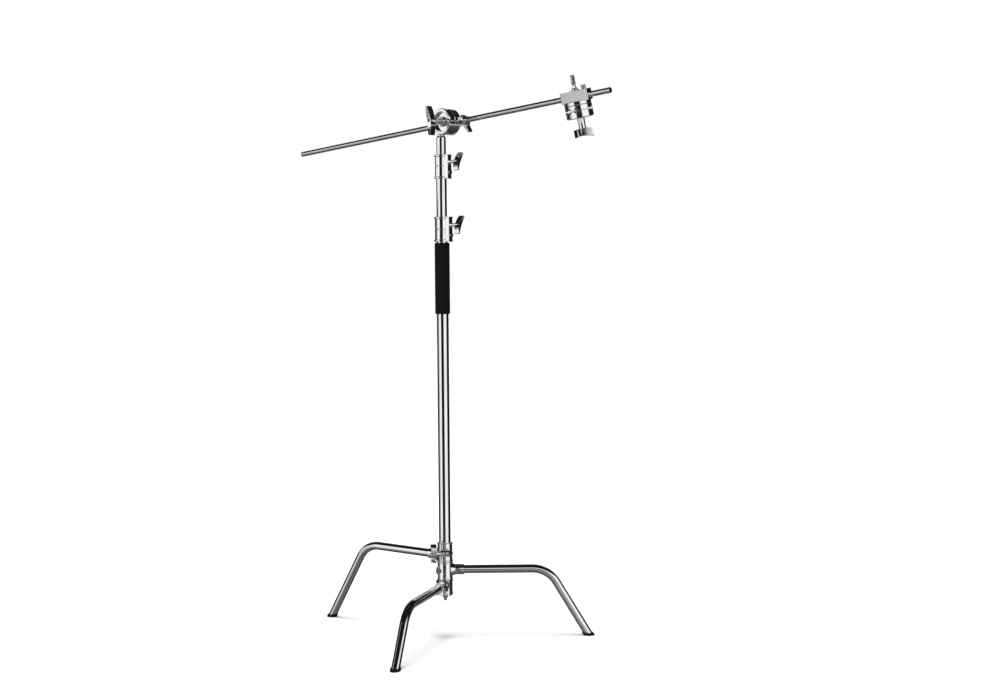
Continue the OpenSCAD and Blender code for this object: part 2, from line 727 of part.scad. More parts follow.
module top_leg_hub() color(CAST) difference() {
    union() {
        hub_barrel(top_hub_z, top_hub_h, clamp_r);
        rotate([0, 0, top_leg_azimuth]) intersection() {
            socket_solid(top_leg_z);
            translate([0, -leg_od * 2, top_hub_z + top_hub_trim])
                cube([socket_reach * 2, leg_od * 4, top_hub_h - 2 * top_hub_trim]);
        }
        // the two ears, rounded about the screw
        clamp_screw_axis() cylinder(r = ear_r, h = 2 * ear_face, center = true);
        rotate([0, 0, ear_azimuth]) translate([0, -ear_face, clamp_screw_z - ear_r + 1])
            cube([ear_reach, 2 * ear_face, 2 * ear_r - 2]);
    }
    translate([0, 0, top_hub_z - cut]) cylinder(r = clamp_bore, h = top_hub_h + 2 * cut);
    rotate([0, 0, top_leg_azimuth]) socket_cuts(top_leg_z);
    rotate([0, 0, ear_azimuth]) translate([0, -ear_split / 2, top_hub_z - cut])
        cube([ear_reach * 2, ear_split, top_hub_h + 2 * cut]);
    clamp_screw_axis() cylinder(r = screw_r + run_gap, h = 4 * ear_face, center = true);
}
module top_leg_tube() color(STEEL) rotate([0, 0, top_leg_azimuth]) leg_tube(top_leg_z);
module top_leg_foot() color(RUBBER) rotate([0, 0, top_leg_azimuth]) leg_foot(top_leg_z);
module top_leg_bolt() color(STEEL) rotate([0, 0, top_leg_azimuth]) leg_bolt(top_leg_z);

module top_hub_clamp_nut() color(STEEL) clamp_screw_axis() rotate([180, 0, 0]) difference() {
    translate([0, 0, ear_face]) cylinder(d = clamp_nut_d, h = clamp_nut_t, $fn = 6);
    cylinder(r = screw_r + run_gap, h = ear_face + clamp_nut_t + cut);
}
module top_hub_t_handle() color(STEEL) clamp_screw_axis()
    translate([0, 0, ear_face + face_gap]) rotate([0, 0, clamp_handle_turn])
        small_t_handle(clamp_stem, 2 * ear_face + face_gap + clamp_nut_t + clamp_tip);

// ------------------------------------------------------------ grip heads
// Each head is drawn about its main bolt, which is the Z axis. Z is zero in the
// middle of the jaw gap and +Z points to the large T-handle. X is along the rod
// in the receiver block.

// The four rod seats that cross both jaws: one round, for the 5/8 inch stud,
// and three smaller ones with a V section
module rod_seats() {
    translate([-groove_offset, 0, 0]) rotate([90, 0, 0])
        cylinder(r = rod_seat, h = disc_d * 2, center = true);
    for (seat = v_seats) rotate([0, 0, seat[0]]) translate([groove_offset, 0, 0])
        rotate([90, 45, 0]) cube([seat[1], seat[1], disc_d * 2], center = true);
}

v_seats = [[0, 12.7], [90, 9.5], [270, 6.4]];    // direction and width of each V seat
spring_bore_r = 8.5;
spring_depth = 3;

module jaw_cuts() {
    rod_seats();
    cylinder(r = main_bolt_d / 2 + run_gap, h = disc_d * 2, center = true);
    cylinder(r = spring_bore_r, h = jaw_gap + 2 * spring_depth, center = true);
}

module front_jaw() difference() {
    rotate_extrude() polygon([
        [0, jaw_gap / 2], [disc_d / 2 - edge, jaw_gap / 2], [disc_d / 2, jaw_gap / 2 + edge],
        [disc_d / 2, front_face - 2 * edge], [disc_d / 2 - 2 * edge, front_face],
        [dish_d / 2 + edge, front_face], [dish_d / 2, front_face - edge],
        [dish_d / 2, dish_floor], [0, dish_floor]
    ]);
    jaw_cuts();
}

module middle_jaw() difference() {
    rotate_extrude() polygon([
        [0, -jaw_gap / 2], [disc_d / 2 - edge, -jaw_gap / 2],
        [disc_d / 2, -jaw_gap / 2 - edge], [disc_d / 2, middle_back + edge],
        [disc_d / 2 - edge, middle_back], [0, middle_back]
    ]);
    jaw_cuts();
}

// Points of a ring of the spring's wire at turn fraction f, and the coil itself
spring_wire = 1.5;
spring_mid_r = spring_bore_r - spring_wire / 2 - face_gap;
spring_turns = 3;
spring_l = jaw_gap + 2 * spring_depth - spring_wire - 2 * run_gap;
spring_steps = 16;
spring_sides = 6;

module jaw_spring() {
    rings = spring_turns * spring_steps;
    ring_points = [for (i = [0:rings], k = [0:spring_sides - 1])
        let (a = 360 * i / spring_steps, b = 360 * k / spring_sides,
             r = spring_mid_r + spring_wire / 2 * cos(b))
        [r * cos(a), r * sin(a), spring_l * (i / rings - 0.5) + spring_wire / 2 * sin(b)]];
    sides = [for (i = [0:rings - 1], k = [0:spring_sides - 1])
        let (a = i * spring_sides + k, b = i * spring_sides + (k + 1) % spring_sides)
        [a, b, b + spring_sides, a + spring_sides]];
    ends = [[for (k = [spring_sides - 1:-1:0]) k],
            [for (k = [0:spring_sides - 1]) rings * spring_sides + k]];
    polyhedron(points = ring_points, faces = concat(sides, ends));
}

module head_body() difference() {
    union() {
        translate([0, 0, block_front]) cylinder(d = disc_d, h = body_disc_t - edge);
        translate([0, 0, block_front]) cylinder(d = disc_d - 2 * edge, h = body_disc_t);
        translate([0, 0, block_back]) linear_extrude(block_h + cut)
            rounded_square([block_l, block_w], block_edge);
        translate([0, 0, block_back - boss_h]) cylinder(r = boss_r, h = boss_h + cut);
    }
    translate([lock_screw_x, 0, block_back - cut])
        cylinder(r = pin_r + run_gap, h = rod_level - block_back + cut);
    translate([0, 0, rod_level]) rotate([0, 90, 0])
        cylinder(r = rod_seat, h = block_l * 2, center = true);
    translate([0, 0, rod_level + rod_seat + bolt_clear])
        cylinder(r = main_bolt_d / 2 + run_gap, h = disc_d);
    translate([0, 0, block_back - boss_h - cut])
        cylinder(r = screw_r + run_gap, h = rod_level - block_back + boss_h);
}

// Cap screw in the block's back that locks the head on the rod for good
module lock_screw() {
    translate([lock_screw_x, 0, block_back]) {
        rotate([180, 0, 0]) socket_head(set_head_d, lock_head_h);
        cylinder(r = pin_r, h = lock_l);
    }
}

// Brass pad between the small T-handle's screw and the rod
module rod_pad() difference() {
    translate([0, 0, rod_level - rod_r - pad_t]) cylinder(r = screw_r, h = rod_r + pad_t);
    translate([0, 0, rod_level]) rotate([0, 90, 0])
        cylinder(r = rod_seat, h = block_l, center = true);
    translate([0, 0, rod_level]) cylinder(r = screw_r * 2, h = rod_r);
}

module head_small_handle(turn) translate([0, 0, block_back - boss_h - face_gap])
    rotate([180, 0, 0]) rotate([0, 0, turn])
        small_t_handle(small_stem, rod_level - rod_r - pad_t - run_gap - block_back
                                   + boss_h + face_gap);

large_foot = dish_floor + washer_t + 2 * run_gap;
bolt_end = large_foot + large_stem + large_wing_t - bolt_inset;

module thrust_washer() translate([0, 0, dish_floor + run_gap])
    tube(washer_r, washer_r - main_bolt_d / 2 - run_gap, washer_t);

module large_handle(turn) translate([0, 0, large_foot]) rotate([0, 0, turn])
    t_handle(large_wing_l, large_wing_w, large_wing_t, large_stem_d, large_waist_r,
             large_stem, main_bolt_d / 2 + run_gap);

// Bolt from inside the handle's wings through both jaws into the head's body
module main_bolt() {
    tip = rod_level + rod_seat + bolt_clear + run_gap;
    translate([0, 0, tip]) cylinder(d = main_bolt_d, h = bolt_end - tip - bolt_chamfer);
    translate([0, 0, bolt_end - bolt_chamfer])
        cylinder(d1 = main_bolt_d, d2 = main_bolt_d - 2 * bolt_chamfer, h = bolt_chamfer);
}

// Head 1 grips the spigot's stud in its round seats
module at_head_1() translate([0, 0, head_z]) rotate([0, 0, arm_azimuth]) rotate([90, 0, 0])
    translate([groove_offset, 0, 0]) children();
module at_head_1_tilted() at_head_1() rotate([0, 0, arm_tilt]) children();
// The arm's frame: X along the arm, origin where it passes head 1's bolt
module at_arm() at_head_1_tilted() translate([0, 0, rod_level]) children();
module at_head_2() at_arm() translate([head_2_along, 0, 0])
    rotate([90 + head_2_roll, 0, 0]) translate([0, 0, -rod_level]) children();

module head_1_front_jaw() color(CAST) at_head_1() front_jaw();
module head_1_middle_jaw() color(CAST) at_head_1() middle_jaw();
module head_1_jaw_spring() color(STEEL) at_head_1() jaw_spring();
module head_1_body() color(CAST) at_head_1_tilted() head_body();
module head_1_rod_pad() color(BRASS) at_head_1_tilted() rod_pad();
module head_1_small_t_handle() color(STEEL) at_head_1_tilted()
    head_small_handle(head_1_small_turn);
module head_1_large_t_handle() color(STEEL) at_head_1_tilted()
    large_handle(head_1_large_turn);
module head_1_main_bolt() color(STEEL) at_head_1_tilted() main_bolt();
module head_1_thrust_washer() color(STEEL) at_head_1_tilted() thrust_washer();
module head_1_lock_screw() color(STEEL) at_head_1_tilted() lock_screw();

module head_2_front_jaw() color(CAST) at_head_2() rotate([0, 0, head_2_jaw_turn]) front_jaw();
module head_2_middle_jaw() color(CAST) at_head_2() rotate([0, 0, head_2_jaw_turn]) middle_jaw();
module head_2_jaw_spring() color(STEEL) at_head_2() jaw_spring();
module head_2_body() color(CAST) at_head_2() head_body();
module head_2_rod_pad() color(BRASS) at_head_2() rod_pad();
module head_2_small_t_handle() color(STEEL) at_head_2()
    head_small_handle(head_2_small_turn);
module head_2_large_t_handle() color(STEEL) at_head_2()
    large_handle(head_2_large_turn);
module head_2_main_bolt() color(STEEL) at_head_2() main_bolt();
module head_2_thrust_washer() color(STEEL) at_head_2() thrust_washer();
module head_2_lock_screw() color(STEEL) at_head_2() lock_screw();

// ------------------------------------------------------------ grip arm

// Stud end beyond the retaining groove, the groove, and the plug in the tube
tip_l = 10;
tip_groove_l = 6;
tip_plug = 40;
tip_chamfer = 1.5;
tip_groove_depth = 2;
tip_groove_end = tip_l + tip_groove_l;

module grip_arm() color(STEEL) at_arm() translate([-arm_tail + tip_groove_end, 0, 0])
    rotate([0, 90, 0]) tube(rod_r, arm_wall, arm_tail + arm_nose - 2 * tip_groove_end);

// Turned end of the arm, its tip at the origin and the arm along +X
module arm_tip() rotate([0, 90, 0]) rotate_extrude() polygon([
    [0, 0], [rod_r - tip_chamfer, 0], [rod_r, tip_chamfer], [rod_r, tip_l],
    [rod_r - tip_groove_depth, tip_l], [rod_r - tip_groove_depth, tip_groove_end - edge],
    [rod_r, tip_groove_end - edge], [rod_r, tip_groove_end],
    [rod_r - arm_wall - run_gap, tip_groove_end],
    [rod_r - arm_wall - run_gap, tip_groove_end + tip_plug],
    [0, tip_groove_end + tip_plug]
]);

module arm_end_plugs() color(STEEL) at_arm() {
    translate([-arm_tail, 0, 0]) arm_tip();
    translate([arm_nose, 0, 0]) rotate([0, 180, 0]) arm_tip();
}

main_column();
column_end_plug();
base_washer();
base_cap_nut();
foam_grip();
lower_collar();
lower_collar_liner();
lower_collar_brake_pad();
lower_collar_set_screw();
lower_collar_t_handle();
bottom_leg_hub();
bottom_leg_tube();
bottom_leg_foot();
bottom_leg_bolt();
middle_leg_hub();
middle_leg_tube();
middle_leg_foot();
middle_leg_bolt();
middle_hub_stop_screw();
top_hub_liner();
top_leg_hub();
top_leg_tube();
top_leg_foot();
top_leg_bolt();
top_hub_clamp_nut();
top_hub_t_handle();
riser_1_tube();
riser_1_guide();
upper_collar();
upper_collar_liner();
upper_collar_brake_pad();
upper_collar_set_screw();
upper_collar_t_handle();
riser_2_tube();
riser_2_guide();
top_spigot();
head_1_front_jaw();
head_1_middle_jaw();
head_1_jaw_spring();
head_1_body();
head_1_rod_pad();
head_1_small_t_handle();
head_1_large_t_handle();
head_1_main_bolt();
head_1_thrust_washer();
head_1_lock_screw();
grip_arm();
arm_end_plugs();
head_2_front_jaw();
head_2_middle_jaw();
head_2_jaw_spring();
head_2_body();
head_2_rod_pad();
head_2_small_t_handle();
head_2_large_t_handle();
head_2_main_bolt();
head_2_thrust_washer();
head_2_lock_screw();
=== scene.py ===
# %% [markdown]
# # A century stand with its grip arm, dressed
# The stand comes in as solids, already in its place and at its real size. Everything below
# gives those solids their finishes, and sets up the floor, the surround, the lamps and the
# camera of a plain white studio. No shape is added and none is changed.

# %% Load the stand
import json
import math
import bpy
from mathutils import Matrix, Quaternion, Vector


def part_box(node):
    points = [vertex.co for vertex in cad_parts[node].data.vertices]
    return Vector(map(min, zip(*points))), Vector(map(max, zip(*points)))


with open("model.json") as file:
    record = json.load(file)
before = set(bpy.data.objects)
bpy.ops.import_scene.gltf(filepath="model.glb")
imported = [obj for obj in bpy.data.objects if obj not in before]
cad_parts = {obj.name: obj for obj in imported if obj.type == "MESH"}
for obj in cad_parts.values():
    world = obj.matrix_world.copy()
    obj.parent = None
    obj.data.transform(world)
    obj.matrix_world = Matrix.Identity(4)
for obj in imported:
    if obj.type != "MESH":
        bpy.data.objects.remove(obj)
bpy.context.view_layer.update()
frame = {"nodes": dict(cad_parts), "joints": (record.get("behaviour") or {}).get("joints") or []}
nodes = frame["nodes"]
joints = {j["name"]: j for j in frame["joints"]}

# %% [markdown]
# ## Small helpers
# A colour is written as the hex value that a paint chart gives, which is sRGB, and one
# function turns it to the linear light that Blender works in. One more function adds a
# node with its settings, its values and its links, so that a material reads as a list.
# The last one is only arithmetic: it says which range of values becomes which.

# %% Colour and node helpers
MM = 0.001
EDGE_RAYS, CORNER_RAYS = 4, 6      # for the nodes that feel for edges and for corners


def linear(hex_colour):
    parts = [int(hex_colour[i:i + 2], 16) / 255 for i in (1, 3, 5)]
    return tuple(p / 12.92 if p <= 0.04045 else ((p + 0.055) / 1.055) ** 2.4
                 for p in parts) + (1.0,)


def add(tree, kind, sockets=None, **settings):
    """A new node. A socket takes a value, an output, or a node: then its first output."""
    made = tree.nodes.new("ShaderNode" + kind)
    for name, value in settings.items():
        setattr(made, name, value)
    for name, value in (sockets or {}).items():
        if isinstance(value, bpy.types.Node):
            value = next(out for out in value.outputs if not out.is_unavailable)
        if isinstance(value, bpy.types.NodeSocket):
            tree.links.new(value, made.inputs[name])
        else:
            made.inputs[name].default_value = value
    return made


def from_to(source, target=(0.0, 1.0)):
    """The sockets of a Map Range node that maps one range of values on another."""
    return {"From Min": source[0], "From Max": source[1],
            "To Min": target[0], "To Max": target[1]}


print("mid grey #808080 is", [round(c, 3) for c in linear("#808080")[:3]])

# %% [markdown]
# ## The axes of the stand
# Marks of making follow the way a piece was made: a drawn tube is marked along its length
# and a turned disc in rings. So each pattern needs to know where the axis of its piece is.
# The joints already say this: the arm slides along its own axis, and a head turns on its
# bolt. A collar's screw lies on its own line, a bent leg is followed along its flat run,
# from the hub towards the foot, and the rest is centred on the column.

# %% Axes taken from the joints


def joint_axis(name, through=None):
    j = joints[name]
    return Vector(through or j["pos_m"]), Vector(j["axis"]).normalized()


HEAD_1 = joint_axis("head_1_tilt")
HEAD_2 = joint_axis("head_2_jaw_turn")
ARM = joint_axis("arm_slide", joints["head_2_roll"]["pos_m"])
CLAMP = joint_axis("clamp_handle_turn")
COLUMN = (Vector((0, 0, 0)), Vector((0, 0, 1)))
ON_COLLAR_SCREW = ("_t_handle", "_brake_pad", "_set_screw")


def leg_axis(node):
    low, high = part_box(node)
    foot = Vector(((low.x + high.x) / 2, (low.y + high.y) / 2, 0))
    return Vector((0, 0, high.z)), foot.normalized()


def axis_of(node):
    if node.startswith("head_1"):
        return HEAD_1
    if node.startswith("head_2"):
        return HEAD_2
    if node in ("grip_arm", "arm_end_plugs"):
        return ARM
    if node in ("top_hub_t_handle", "top_hub_clamp_nut"):
        return CLAMP
    if node.endswith("_leg_tube"):
        return leg_axis(node)
    if "_collar" in node and node.endswith(ON_COLLAR_SCREW):
        return joint_axis(node.split("_collar")[0] + "_collar_handle_turn")
    return COLUMN


for name in ("grip_arm", "head_2_front_jaw", "lower_collar_t_handle"):
    print(name, "lies along", [round(c, 3) for c in axis_of(name)[1]])

# %% [markdown]
# ## Patterns in millimetres, on the axis of a piece
# One mapping node turns the piece's own coordinates so that its axis is Z, and counts in
# millimetres from a point on the axis. A pattern can then be written with real sizes. It
# stays on the piece when the piece moves, because it reads the object's own coordinates.
# Two patterns are enough for the whole stand: a cloudy one and one of rings.

# %% Coordinates and patterns


def on_axis(tree, axis):
    point, direction = axis
    turn = direction.rotation_difference(Vector((0, 0, 1)))
    return add(tree, "Mapping", {
        "Vector": add(tree, "TexCoord").outputs["Object"],
        "Location": -(turn @ (Vector(point) / MM)),
        "Rotation": turn.to_euler(), "Scale": (1 / MM,) * 3})


def mottle(tree, coords, grain_mm, detail=2, roughness=0.5):
    """A cloudy pattern. Its grain is given across, across and along the axis."""
    cells = add(tree, "Mapping", {"Vector": coords, "Scale": [1 / g for g in grain_mm]})
    return add(tree, "TexNoise", {"Vector": cells, "Scale": 1.0, "Detail": detail,
                                  "Roughness": roughness})


def rings(tree, coords, pitch_mm):
    """Waves from 0 to 1 around the axis, one for each pitch of radius."""
    flat = add(tree, "VectorMath", {0: coords, 1: (1, 1, 0)}, operation="MULTIPLY")
    radius = add(tree, "VectorMath", {0: flat}, operation="LENGTH")
    phase = add(tree, "Math", {0: radius, 1: 2 * math.pi / pitch_mm},
                operation="MULTIPLY")
    wave = add(tree, "Math", {0: phase}, operation="SINE")
    return add(tree, "MapRange", {"Value": wave, **from_to((-1, 1))})


print("a 0.5 mm pitch is %.2f radians of phase per mm" % (2 * math.pi / 0.5))

# %% [markdown]
# ## Giving a finish to its pieces
# A finish is a function that builds a shader in a node tree, on the coordinates of one
# piece. Each piece gets a material of its own, because its axis is its own, and the pieces
# that share a finish are picked by how their names end.

# %% Materials and their pieces
bare = set(nodes)


def new_material(name, shader_of):
    material = bpy.data.materials.new(name)
    material.use_nodes = True
    tree = material.node_tree
    tree.nodes.clear()
    add(tree, "OutputMaterial", {"Surface": shader_of(tree)})
    return material


def dress(finish, *endings):
    chosen = sorted(name for name in bare if name.endswith(endings))
    for name in chosen:
        material = new_material(
            "%s on %s" % (finish.__name__, name),
            lambda tree: finish(tree, on_axis(tree, axis_of(name))))
        nodes[name].data.materials.clear()
        nodes[name].data.materials.append(material)
    bare.difference_update(chosen)
    print("%s: %d pieces" % (finish.__name__, len(chosen)))


print("pieces to dress:", len(bare))

# %% [markdown]
# ## Chromed steel tube
# The column, the two risers, the legs and the arm are steel tube with a bright chrome plate
# over nickel. Chrome is a mirror with a faint cool tint. Handling and sliding leave fine
# marks along the tube and soft smears from hands, which show only as a change of gloss.
# Real edges are never sharp either: the bevel node rounds their light and not their shape.

# %% Chromed tube


def chromed_tube(tree, coords):
    smear = mottle(tree, coords, (45, 45, 90), detail=3)
    # drawn as 0.6 mm lines, 40 mm long: the real ones are too fine to show
    marks = mottle(tree, coords, (0.6, 0.6, 40))
    smeared = add(tree, "MapRange", {
        "Value": smear, **from_to((0.4, 0.7), (0.03, 0.10))})
    scratched = add(tree, "MapRange", {
        "Value": marks, **from_to((0.55, 0.8), (0.0, 0.08))})
    tint = add(tree, "MapRange", {"Value": smear, **from_to((0.35, 0.75))})
    colour = add(tree, "Mix", {"Factor": tint, "A": linear("#F4F5F6"),
                               "B": linear("#E3E5E8")}, data_type="RGBA")
    edges = add(tree, "Bevel", {"Radius": 0.4 * MM}, samples=EDGE_RAYS)
    return add(tree, "BsdfPrincipled", {
        "Base Color": colour, "Metallic": 1.0,
        "Roughness": add(tree, "Math", {0: smeared, 1: scratched}, operation="ADD"),
        "Normal": add(tree, "Bump", {"Height": marks, "Strength": 1.0,
                                     "Distance": 0.004 * MM, "Normal": edges})})


dress(chromed_tube, "main_column", "riser_1_tube", "riser_2_tube", "_leg_tube",
      "grip_arm", "arm_end_plugs", "top_spigot")

# %% [markdown]
# ## Polished casting
# The hubs, the collars and the bodies of the heads are zinc castings, ground, polished and
# chromed, and so are the T-handles. A casting never gets as flat as a tube: the polishing
# wheel leaves long shallow waves, and the corners that it can't reach stay duller. Those
# corners also get painted shade: the ambient occlusion node finds them and darkens their colour.

# %% Polished casting


def polished_casting(tree, coords):
    wave = mottle(tree, coords, (9, 9, 9))
    pits = mottle(tree, coords, (1.1, 1.1, 1.1), detail=3, roughness=0.6)
    corner = add(tree, "AmbientOcclusion", {"Distance": 5 * MM}, samples=CORNER_RAYS)
    unshaded = add(tree, "MapRange", {
        "Value": corner.outputs["AO"], **from_to((0.2, 0.8))})
    # painted shade: where the ambient occlusion node finds a corner, the colour darkens towards
    # #505256
    colour = add(tree, "Mix", {"Factor": unshaded, "A": linear("#505256"),
                               "B": linear("#F4F5F6")}, data_type="RGBA")
    gloss = add(tree, "MapRange", {
        "Value": wave, **from_to((0.35, 0.7), (0.04, 0.14))})
    dull = add(tree, "MapRange", {"Value": unshaded, **from_to((0, 1), (0.18, 0.0))})
    edges = add(tree, "Bevel", {"Radius": 1.0 * MM}, samples=EDGE_RAYS)
    waved = add(tree, "Bump", {"Height": wave, "Strength": 1.0,
                               "Distance": 0.05 * MM, "Normal": edges})
    return add(tree, "BsdfPrincipled", {
        "Base Color": colour, "Metallic": 1.0,
        "Roughness": add(tree, "Math", {0: gloss, 1: dull}, operation="ADD"),
        "Normal": add(tree, "Bump", {"Height": pits, "Strength": 1.0,
                                     "Distance": 0.006 * MM, "Normal": waved})})


dress(polished_casting, "_hub", "_collar", "_body", "_t_handle")

# %% [markdown]
# ## Machined casting
# The round jaws of a grip head are cast, chromed and faced on a lathe. The cutting tool
# leaves rings round the bolt, which pull every highlight out into a soft streak.

# %% Machined face


def machined_casting(tree, coords):
    # a real feed mark is 0.2 mm: drawn at 0.5 mm so that it shows
    turned = rings(tree, coords, 0.5)
    wave = mottle(tree, coords, (7, 7, 7))
    corner = add(tree, "AmbientOcclusion", {"Distance": 4 * MM}, samples=CORNER_RAYS)
    unshaded = add(tree, "MapRange", {
        "Value": corner.outputs["AO"], **from_to((0.15, 0.7))})
    # painted shade: where the ambient occlusion node finds a corner, the colour darkens towards
    # #5E6064
    colour = add(tree, "Mix", {"Factor": unshaded, "A": linear("#5E6064"),
                               "B": linear("#F4F5F6")}, data_type="RGBA")
    gloss = add(tree, "MapRange", {
        "Value": wave, **from_to((0.3, 0.7), (0.06, 0.12))})
    ridges = add(tree, "MapRange", {"Value": turned, **from_to((0, 1), (0.0, 0.04))})
    edges = add(tree, "Bevel", {"Radius": 0.6 * MM}, samples=EDGE_RAYS)
    return add(tree, "BsdfPrincipled", {
        "Base Color": colour, "Metallic": 1.0,
        "Roughness": add(tree, "Math", {0: gloss, 1: ridges}, operation="ADD"),
        "Normal": add(tree, "Bump", {"Height": turned, "Strength": 1.0,
                                     "Distance": 0.003 * MM, "Normal": edges})})


dress(machined_casting, "_front_jaw", "_middle_jaw")

# %% [markdown]
# ## Zinc plate and brass
# Bolts, nuts, washers and the jaw springs are plated with zinc, which is greyer and softer
# than chrome, with a fine grain and a little blue. The pads that press on the tubes are
# brass, turned from bar: it is softer than the chrome that it grips, and it tarnishes.

# %% Zinc plate and brass


def zinc_plate(tree, coords):
    grain = mottle(tree, coords, (0.8, 0.8, 0.8), detail=3, roughness=0.6)
    cloud = mottle(tree, coords, (6, 6, 6))
    colour = add(tree, "Mix", {"Factor": cloud, "A": linear("#C6C8CB"),
                               "B": linear("#9DA0A6")}, data_type="RGBA")
    edges = add(tree, "Bevel", {"Radius": 0.3 * MM}, samples=EDGE_RAYS)
    return add(tree, "BsdfPrincipled", {
        "Base Color": colour, "Metallic": 1.0,
        "Roughness": add(tree, "MapRange", {
            "Value": grain, **from_to((0.3, 0.7), (0.18, 0.34))}),
        "Normal": add(tree, "Bump", {"Height": grain, "Strength": 1.0,
                                     "Distance": 0.004 * MM, "Normal": edges})})


def brass(tree, coords):
    tarnish = mottle(tree, coords, (3, 3, 3), detail=3)
    turned = rings(tree, coords, 0.4)
    patches = add(tree, "MapRange", {"Value": tarnish, **from_to((0.3, 0.7))})
    colour = add(tree, "Mix", {"Factor": patches, "A": linear("#D8B25A"),
                               "B": linear("#94733A")}, data_type="RGBA")
    return add(tree, "BsdfPrincipled", {
        "Base Color": colour, "Metallic": 1.0,
        "Roughness": add(tree, "MapRange", {
            "Value": tarnish, **from_to((0.3, 0.7), (0.2, 0.45))}),
        "Normal": add(tree, "Bump", {"Height": turned, "Strength": 1.0,
                                     "Distance": 0.005 * MM})})


dress(zinc_plate, "_plug", "_nut", "_washer", "_bolt", "_screw", "_spring")
dress(brass, "_pad")

# %% [markdown]
# ## Nylon
# The sliding bushes and guides are white nylon, moulded: a slightly waxy plastic that lets
# light in by a couple of millimetres, which softens its edges.

# %% Nylon


def nylon(tree, coords):
    wax = mottle(tree, coords, (4, 4, 4), detail=3)
    edges = add(tree, "Bevel", {"Radius": 0.3 * MM}, samples=EDGE_RAYS)
    return add(tree, "BsdfPrincipled", {
        "Base Color": linear("#E9E7DF"), "IOR": 1.53,
        "Subsurface Weight": 0.15, "Subsurface Radius": (2 * MM,) * 3,
        "Roughness": add(tree, "MapRange", {
            "Value": wax, **from_to((0.3, 0.7), (0.35, 0.5))}),
        "Normal": add(tree, "Bump", {"Height": wax, "Strength": 1.0,
                                     "Distance": 0.02 * MM, "Normal": edges})})


dress(nylon, "_liner", "_guide")

# %% [markdown]
# ## Foam
# The sleeve on the column is closed-cell foam: a matte black skin with pores of under a
# millimetre, the long marks of the die that it was pushed through, and shallow dents from
# hands. The skin is the pores and the marks added together.

# %% Closed-cell foam


def closed_cell_foam(tree, coords):
    # pores of 0.7 mm, drawn at 1.4 mm and a little longer than wide
    cells = add(tree, "Mapping", {"Vector": coords,
                                  "Scale": [1 / g for g in (1.4, 1.4, 1.9)]})
    pores = add(tree, "TexVoronoi", {"Vector": cells, "Scale": 1.0, "Randomness": 1.0},
                feature="F1")
    die_marks = mottle(tree, coords, (2.2, 2.2, 60))
    dents = mottle(tree, coords, (14, 14, 30))
    hollow = add(tree, "MapRange", {"Value": pores, **from_to((0.0, 0.6))})
    skin = add(tree, "Math", {0: hollow, 1: die_marks}, operation="ADD")
    pale = add(tree, "MapRange", {"Value": skin, **from_to((0.6, 1.6))})
    colour = add(tree, "Mix", {"Factor": pale, "A": linear("#0B0B0C"),
                               "B": linear("#1B1B1D")}, data_type="RGBA")
    edges = add(tree, "Bevel", {"Radius": 1.0 * MM}, samples=EDGE_RAYS)
    dented = add(tree, "Bump", {"Height": dents, "Strength": 1.0,
                                "Distance": 0.35 * MM, "Normal": edges})
    return add(tree, "BsdfPrincipled", {
        "Base Color": colour, "Specular IOR Level": 0.15,
        "Roughness": add(tree, "MapRange", {
            "Value": pores, **from_to((0.0, 0.7), (0.85, 1.0))}),
        "Normal": add(tree, "Bump", {"Height": skin, "Strength": 1.0,
                                     "Distance": 0.12 * MM, "Normal": dented})})


dress(closed_cell_foam, "foam_grip")

# %% [markdown]
# ## Rubber
# The feet are moulded rubber, a little shinier than the foam, and greyed by dust where
# they rub.

# %% Moulded rubber


def moulded_rubber(tree, coords):
    grain = mottle(tree, coords, (0.9, 0.9, 0.9), detail=3, roughness=0.6)
    dust = mottle(tree, coords, (11, 11, 5), detail=3)
    dusty = add(tree, "MapRange", {"Value": dust, **from_to((0.5, 0.8))})
    colour = add(tree, "Mix", {"Factor": dusty, "A": linear("#0B0B0C"),
                               "B": linear("#1F1E1D")}, data_type="RGBA")
    edges = add(tree, "Bevel", {"Radius": 0.8 * MM}, samples=EDGE_RAYS)
    return add(tree, "BsdfPrincipled", {
        "Base Color": colour, "Specular IOR Level": 0.3,
        "Roughness": add(tree, "MapRange", {
            "Value": grain, **from_to((0.3, 0.7), (0.5, 0.68))}),
        "Normal": add(tree, "Bump", {"Height": grain, "Strength": 1.0,
                                     "Distance": 0.05 * MM, "Normal": edges})})


dress(moulded_rubber, "_foot")
print("pieces without a finish:", sorted(bare))

# %% [markdown]
# ## Floor
# A plain pale floor. It is lit as any floor is, so that it keeps the stand's shadow, and it
# glows where the camera sees it, weakly near the stand and more further out, so that it
# runs into the white surround without an edge. Mirrors don't see it: what the chrome finds
# below the horizon is drawn with the surround.

# %% Floor
FLOOR_RADIUS = 14.0
BELOW_FEET = 0.2 * MM          # so that the feet and the floor don't fight for one plane
GLOW_FROM, GLOW_TO = (0.5, 3.0), (0.2, 0.85)     # metres from the column, and strength


def painted_floor(tree):
    place = add(tree, "TexCoord").outputs["Object"]
    distance = add(tree, "VectorMath", {0: place}, operation="LENGTH")
    paint = add(tree, "BsdfDiffuse", {"Color": linear("#F2F2F2")})
    strength = add(tree, "MapRange", {
        "Value": distance, **from_to(GLOW_FROM, GLOW_TO)})
    glow = add(tree, "Emission", {"Color": (1, 1, 1, 1), "Strength": strength})
    lit = add(tree, "AddShader", {0: paint, 1: glow})
    to_camera = add(tree, "LightPath").outputs["Is Camera Ray"]
    return add(tree, "MixShader", {"Fac": to_camera, 1: paint, 2: lit})


bpy.ops.mesh.primitive_circle_add(vertices=96, radius=FLOOR_RADIUS, fill_type="NGON",
                                  location=(0, 0, -BELOW_FEET))
floor = bpy.context.object
floor.name = "studio_floor"
floor.data.materials.append(new_material("painted white floor", painted_floor))
floor.visible_glossy = False
print("floor of", FLOOR_RADIUS, "m radius")

